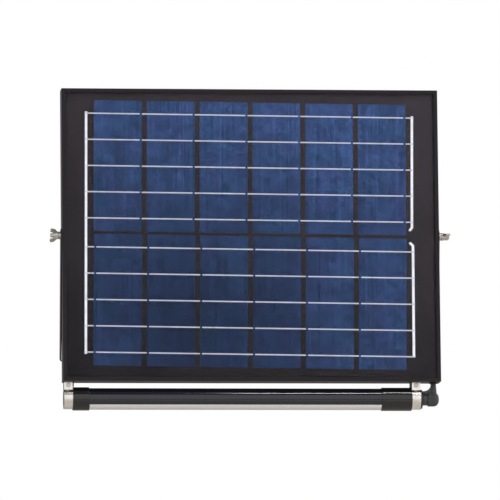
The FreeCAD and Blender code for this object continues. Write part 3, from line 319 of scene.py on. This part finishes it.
SURFACES = {
    "bracket_black": dict(color=(0.014, 0.014, 0.015), roughness=0.48, grain=1.1 * MM, height=0.05 * MM),
    "bright_fastener": dict(color=(0.60, 0.57, 0.53), roughness=0.27, metallic=1.0, grain=0.5 * MM,
                            mottle=0.10),
    "seal_rubber": dict(color=(0.010, 0.009, 0.010), roughness=0.7, grain=0.6 * MM, height=0.05 * MM),
    "tube_black": dict(color=(0.011, 0.011, 0.019), roughness=0.085, grain=0.35 * MM, height=0.0006 * MM,
                       stretch=ALONG_X, matrix=ROW_TO_PANEL, rough_spread=0.02, mottle=0.2,
                       Specular_IOR_Level=0.7),
    "cap_black": dict(color=(0.012, 0.010, 0.012), roughness=0.11, grain=0.7 * MM, height=0.0008 * MM,
                      mottle=0.15, rough_spread=0.03, Specular_IOR_Level=0.65),
    "plug_black": dict(color=(0.060, 0.059, 0.061), roughness=0.36, grain=0.5 * MM, height=0.03 * MM,
                       mottle=0.18),
    "lead_black": dict(color=(0.010, 0.010, 0.011), roughness=0.42, grain=0.9 * MM, height=0.03 * MM),
    "block_black": dict(color=(0.010, 0.010, 0.010), roughness=0.5, grain=0.8 * MM, height=0.04 * MM),
    "board_white": dict(color=(0.78, 0.78, 0.76), roughness=0.4, grain=1.0 * MM, height=0.01 * MM,
                        mottle=0.05),
    "led_amber": dict(color=(0.86, 0.66, 0.17), roughness=0.28, grain=0.4 * MM, height=0.02 * MM,
                      mottle=0.1),
    "box_black": dict(color=(0.020, 0.020, 0.022), roughness=0.5, grain=0.7 * MM, height=0.07 * MM,
                      mottle=0.16),
    "cell_wrap": dict(color=(0.04, 0.22, 0.3), roughness=0.3, grain=2.0 * MM, height=0.02 * MM),
    "board_green": dict(color=(0.02, 0.13, 0.06), roughness=0.35, grain=1.5 * MM, height=0.02 * MM),
    "part_dark": dict(color=(0.03, 0.03, 0.03), roughness=0.5, grain=0.6 * MM),
    "terminal_green": dict(color=(0.05, 0.26, 0.1), roughness=0.45, grain=0.8 * MM),
    "button_grey": dict(color=(0.1, 0.1, 0.1), roughness=0.6, grain=0.5 * MM, height=0.05 * MM),
    "tape_grey": dict(color=(0.05, 0.05, 0.05), roughness=0.8, grain=0.5 * MM, height=0.1 * MM),
    "contact_metal": dict(color=(0.7, 0.68, 0.6), roughness=0.3, metallic=1.0, grain=0.5 * MM),
    "wire_red": dict(color=(0.35, 0.03, 0.03), roughness=0.45, grain=0.6 * MM),
    "stainless": dict(color=(0.90, 0.85, 0.79), roughness=0.24, metallic=1.0, grain=0.18 * MM,
                      height=0.012 * MM, stretch=BRUSHED, matrix=ROW_TO_PANEL, cloud=5 * MM, mottle=0.12),
    "black_anodised": dict(color=(0.0175, 0.0148, 0.0175), roughness=0.46, grain=0.3 * MM,
                           height=0.01 * MM, stretch=ALONG_X, matrix=ROW_TO_PANEL, mottle=0.14,
                           cloud=30 * MM, Specular_IOR_Level=0.22),
}

# Finishes by the record's material slot
finishes = {name: surface(name, **settings) for name, settings in SURFACES.items()}
finishes["cell_blue"] = cell_material()
finishes["tinned_ribbon"] = ribbon_material("tinned_ribbon", (0.70, 0.70, 0.75), (0.50, 0.50, 0.57))
soldered = ribbon_material("tinned_ribbon_soldered", (0.46, 0.46, 0.52), (0.33, 0.33, 0.40))
finishes["black_film"] = film_material("black_film", (0.0215, 0.0170, 0.0210))
finishes["black_backsheet"] = film_material("black_backsheet", (0.0225, 0.0200, 0.0230))
finishes["clear_glass"] = glass_material()
finishes["tube_clear"] = cover_material()
finishes["lens_clear"] = lens_material()
upright_settings = {**SURFACES["black_anodised"], "stretch": ALONG_Z}
anodised_upright = surface("black_anodised_upright", **upright_settings)

for name, node in nodes.items():
    for slot in node.material_slots:
        slot.material = finishes[slot.material.name.split(".")[0]]
for name in ("left_rail", "right_rail"):
    nodes[name].material_slots[0].material = anodised_upright
nodes["tab_ribbons"].material_slots[0].material = soldered


# ---------------------------------------------------------------- rounded edges and finer pieces

def round_edges(name, width):
    """Edges of a pressed or extruded part, softened as the real one's are."""
    soften = nodes[name].modifiers.new("soft_edges", "BEVEL")
    soften.width = width
    soften.segments = 2
    soften.limit_method = "ANGLE"
    soften.angle_limit = math.radians(50)
    soften.harden_normals = True


for rail in ("top_rail", "bottom_rail", "left_rail", "right_rail"):
    round_edges(rail, 0.25 * MM)
for band in ("left_clamp_band", "right_clamp_band"):
    round_edges(band, 0.2 * MM)


def lathe(mesh, place, profile, around=48, radius_at=None):
    """Closed body turned about the local X axis from (x, radius) points.

    radius_at(x, radius, angle), if given, changes the radius round the axis."""
    rings = []
    for x, radius in profile:
        ring = []
        for k in range(around):
            angle = 2 * math.pi * k / around
            r = radius_at(x, radius, angle) if radius_at else radius
            ring.append(mesh.verts.new(place @ Vector((x, r * math.sin(angle), r * math.cos(angle)))))
        rings.append(ring)
    for near, far in zip(rings, rings[1:]):
        for k in range(around):
            n = (k + 1) % around
            mesh.faces.new((near[k], near[n], far[n], far[k]))
    mesh.faces.new(rings[0])
    mesh.faces.new(tuple(reversed(rings[-1])))


def slab(mesh, outline, y0, y1):
    """Closed plate from (x, z) points, between two depths."""
    front = [mesh.verts.new((x, y0, z)) for x, z in outline]
    back = [mesh.verts.new((x, y1, z)) for x, z in outline]
    mesh.faces.new(front)
    mesh.faces.new(tuple(reversed(back)))
    for k in range(len(outline)):
        n = (k + 1) % len(outline)
        mesh.faces.new((front[n], front[k], back[k], back[n]))


def finish_piece(name, mesh, slot, body, *replaced):
    """Turns a mesh drawn in the panel's frame, in millimetres, into a piece that stands in for CAD nodes."""
    bmesh.ops.recalc_face_normals(mesh, faces=mesh.faces)
    data = bpy.data.meshes.new(name)
    mesh.transform(PANEL_TO_ROW @ Matrix.Scale(MM, 4))
    mesh.to_mesh(data)
    mesh.free()
    data.shade_smooth()
    data.set_sharp_from_angle(angle=math.radians(35))
    data.materials.append(finishes[slot])
    piece = bpy.data.objects.new(name, data)
    bpy.context.scene.collection.objects.link(piece)
    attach(piece, body)
    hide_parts(*replaced)


def arc_points(centre, radius, start, end, count):
    """Points on a circle between two angles in degrees, as (x, z)."""
    angles = (math.radians(start + (end - start) * k / (count - 1)) for k in range(count))
    return [(centre[0] + radius * math.cos(a), centre[1] + radius * math.sin(a)) for a in angles]


def add_elbow_plug():
    """Domed plug with slanting finger flutes, the boot its lead leaves by, and the thin web between them."""
    near_end, far_end, radius = 210.1, 223.7, 8.6
    dome_r = 6.4
    dome_start = far_end - dome_r
    flutes, flute_depth, slant = 15, 0.85, 1.25

    def fluted(x, r, angle):
        along = (x - near_end) / (far_end - near_end)
        starts = min(1.0, (x - near_end) / 1.2)
        fades = min(1.0, max(0.0, (far_end - x) / 5.0))
        wave = 0.5 - 0.5 * math.cos(flutes * (angle - slant * along))
        return r - flute_depth * starts * fades * wave ** 1.5

    lip = [(0, 0.9), (0.3, 0.5), (0.9, 0.1)]
    grip_start = near_end + 1.4
    profile = [(near_end + x, radius - inward) for x, inward in lip]
    profile += [(grip_start + (dome_start - grip_start) * k / 10, radius) for k in range(11)]
    profile += [(dome_start + dome_r * math.sin(a), radius - dome_r + dome_r * math.cos(a))
                for a in (math.radians(90 * k / 12) for k in range(1, 13))]
    mesh = bmesh.new()
    lathe(mesh, Matrix.Translation((0, TUBE_Y, TUBE_Z)), profile, 180, fluted)

    lead_x = 217.4
    boot = [(-188.3, 4.2), (-177.1, 3.25), (-176.75, 3.1), (-176.6, 2.85)]
    upright = Matrix.Translation((lead_x, TUBE_Y, 0)) @ Matrix.Rotation(math.radians(-90), 4, "Y")
    lathe(mesh, upright, boot)

    neck_x, web_bottom, web_front, web_back = 204.5, -187.1, 1.2, 6.8
    hollow = arc_points((205.6, -176.0), 9.2, 270, 354, 10)
    corners = [(lead_x, -177.0), (lead_x, web_bottom), (neck_x, web_bottom)]
    slab(mesh, [(neck_x, -185.3)] + hollow + corners, web_front, web_back)
    finish_piece("elbow_plug_detail", mesh, "plug_black", "panel", "elbow_plug")


add_elbow_plug()


# ---------------------------------------------------------------- stage

def add_floor():
    """Pale floor well below the object; seen from below it lets the view through."""
    pale = (0.90, 0.86, 0.80)
    made = Finish("floor_paint", pale, 0.9, Specular_IOR_Level=0.1)
    tone = made.span(made.noise(made.place(), 0.4), 0.3, 0.7, 0.985, 1.0)
    made.set("Base Color", made.scaled(pale, tone))
    side = made.node("ShaderNodeNewGeometry")
    clear = made.node("ShaderNodeBsdfTransparent")
    either = made.node("ShaderNodeMixShader")
    made.plug(side.outputs["Backfacing"], either.inputs[0])
    made.plug(made.shader.outputs[0], either.inputs[1])
    made.plug(clear.outputs[0], either.inputs[2])
    made.plug(either.outputs[0], made.output.inputs["Surface"])
    mesh = bpy.data.meshes.new("floor")
    half = 4.8
    low = -0.45
    corners = [(-half, -half, low), (half, -half, low), (half, half, low), (-half, half, low)]
    mesh.from_pydata(corners, [], [(0, 1, 2, 3)])
    mesh.materials.append(made.material)
    floor = bpy.data.objects.new("floor", mesh)
    bpy.context.scene.collection.objects.link(floor)


def add_world():
    """White studio, plain white to the camera and through glass.

    Reflections see the pale floor, a dark line at its far edge, white walls and a dark ceiling."""
    world = bpy.data.worlds.new("studio")
    bpy.context.scene.world = world
    world.use_nodes = True
    tree = world.node_tree
    tree.nodes.clear()
    path = tree.nodes.new("ShaderNodeLightPath")
    direction = tree.nodes.new("ShaderNodeTexCoord")
    parts = tree.nodes.new("ShaderNodeSeparateXYZ")
    share = tree.nodes.new("ShaderNodeMapRange")
    ramp = tree.nodes.new("ShaderNodeValToRGB")
    tree.links.new(direction.outputs["Generated"], parts.inputs[0])
    tree.links.new(parts.outputs["Z"], share.inputs["Value"])
    share.inputs["From Min"].default_value = -1.0
    tree.links.new(share.outputs[0], ramp.inputs[0])
    floor_below, floor_far = (0.90, 0.85, 0.79), (0.96, 0.91, 0.85)
    line, wall_foot, wall_top = (0.22, 0.22, 0.23), (0.92, 0.92, 0.95), (1.0, 1.0, 1.0)
    ceiling, overhead = (0.05, 0.05, 0.06), (0.25, 0.25, 0.27)
    # Colour at each height above the horizon, in degrees
    stops = [(-90, floor_below), (-4, floor_far), (-3.2, line), (0, line), (2.5, wall_foot),
             (46, wall_top), (52, ceiling), (66, ceiling), (80, overhead)]
    while len(ramp.color_ramp.elements) < len(stops):
        ramp.color_ramp.elements.new(0.5)
    for element, (degrees, color) in zip(ramp.color_ramp.elements, stops):
        element.position = (math.sin(math.radians(degrees)) + 1) / 2
        element.color = (*color, 1.0)
    plain = tree.nodes.new("ShaderNodeMix")
    plain.data_type = "RGBA"
    tree.links.new(path.outputs["Is Glossy Ray"], plain.inputs[0])
    plain.inputs[6].default_value = (0.46, 0.46, 0.47, 1.0)
    tree.links.new(ramp.outputs[0], plain.inputs[7])
    either = tree.nodes.new("ShaderNodeMath")
    either.operation = "MAXIMUM"
    tree.links.new(path.outputs["Is Camera Ray"], either.inputs[0])
    tree.links.new(path.outputs["Is Transmission Ray"], either.inputs[1])
    white = tree.nodes.new("ShaderNodeMix")
    white.data_type = "RGBA"
    tree.links.new(either.outputs[0], white.inputs[0])
    tree.links.new(plain.outputs[2], white.inputs[6])
    white.inputs[7].default_value = (1, 1, 1, 1)
    background = tree.nodes.new("ShaderNodeBackground")
    tree.links.new(white.outputs[2], background.inputs["Color"])
    output = tree.nodes.new("ShaderNodeOutputWorld")
    tree.links.new(background.outputs[0], output.inputs["Surface"])


def add_softbox(name, at, toward, size, watts):
    data = bpy.data.lights.new(name, "AREA")
    data.shape = "RECTANGLE"
    data.size, data.size_y = size
    data.energy = watts
    lamp = bpy.data.objects.new(name, data)
    lamp.location = at
    lamp.rotation_euler = (Vector(toward) - Vector(at)).to_track_quat("-Z", "Y").to_euler()
    bpy.context.scene.collection.objects.link(lamp)
    return lamp


def add_camera():
    """Camera of the product shot, by its angles to the panel and the point it looks at."""
    azimuth, elevation, roll = (math.radians(a) for a in (-5.827, -7.924, -0.588))
    distance = 8.0
    aim = Vector((-1.75, FRAME_FRONT, -18.43)) * MM
    level_part = math.cos(elevation)
    back = Vector((math.sin(azimuth) * level_part, -math.cos(azimuth) * level_part, math.sin(elevation)))
    level = (-back).cross(Vector((0, 0, 1))).normalized()
    rise = level.cross(-back)
    right = level * math.cos(roll) + rise * math.sin(roll)
    up = rise * math.cos(roll) - level * math.sin(roll)
    turn = Matrix((right, up, back)).transposed().to_4x4()
    data = bpy.data.cameras.new("camera")
    data.sensor_width = 36.0
    data.lens = 484.93
    camera = bpy.data.objects.new("camera", data)
    camera.matrix_world = PANEL_TO_ROW @ Matrix.Translation(aim + back * distance) @ turn
    bpy.context.scene.collection.objects.link(camera)
    bpy.context.scene.camera = camera


add_floor()
add_world()
add_softbox("strip", (0.80, -0.84, 2.71), (0.2, 0, 0.0), (1.3, 0.07), 13)
low_fill = add_softbox("low_fill", (0.9, -3.0, -0.12), (0, 0, 0.0), (2.4, 0.5), 24)
low_fill.visible_glossy = False
add_camera()
bpy.context.scene.view_settings.view_transform = "Standard"
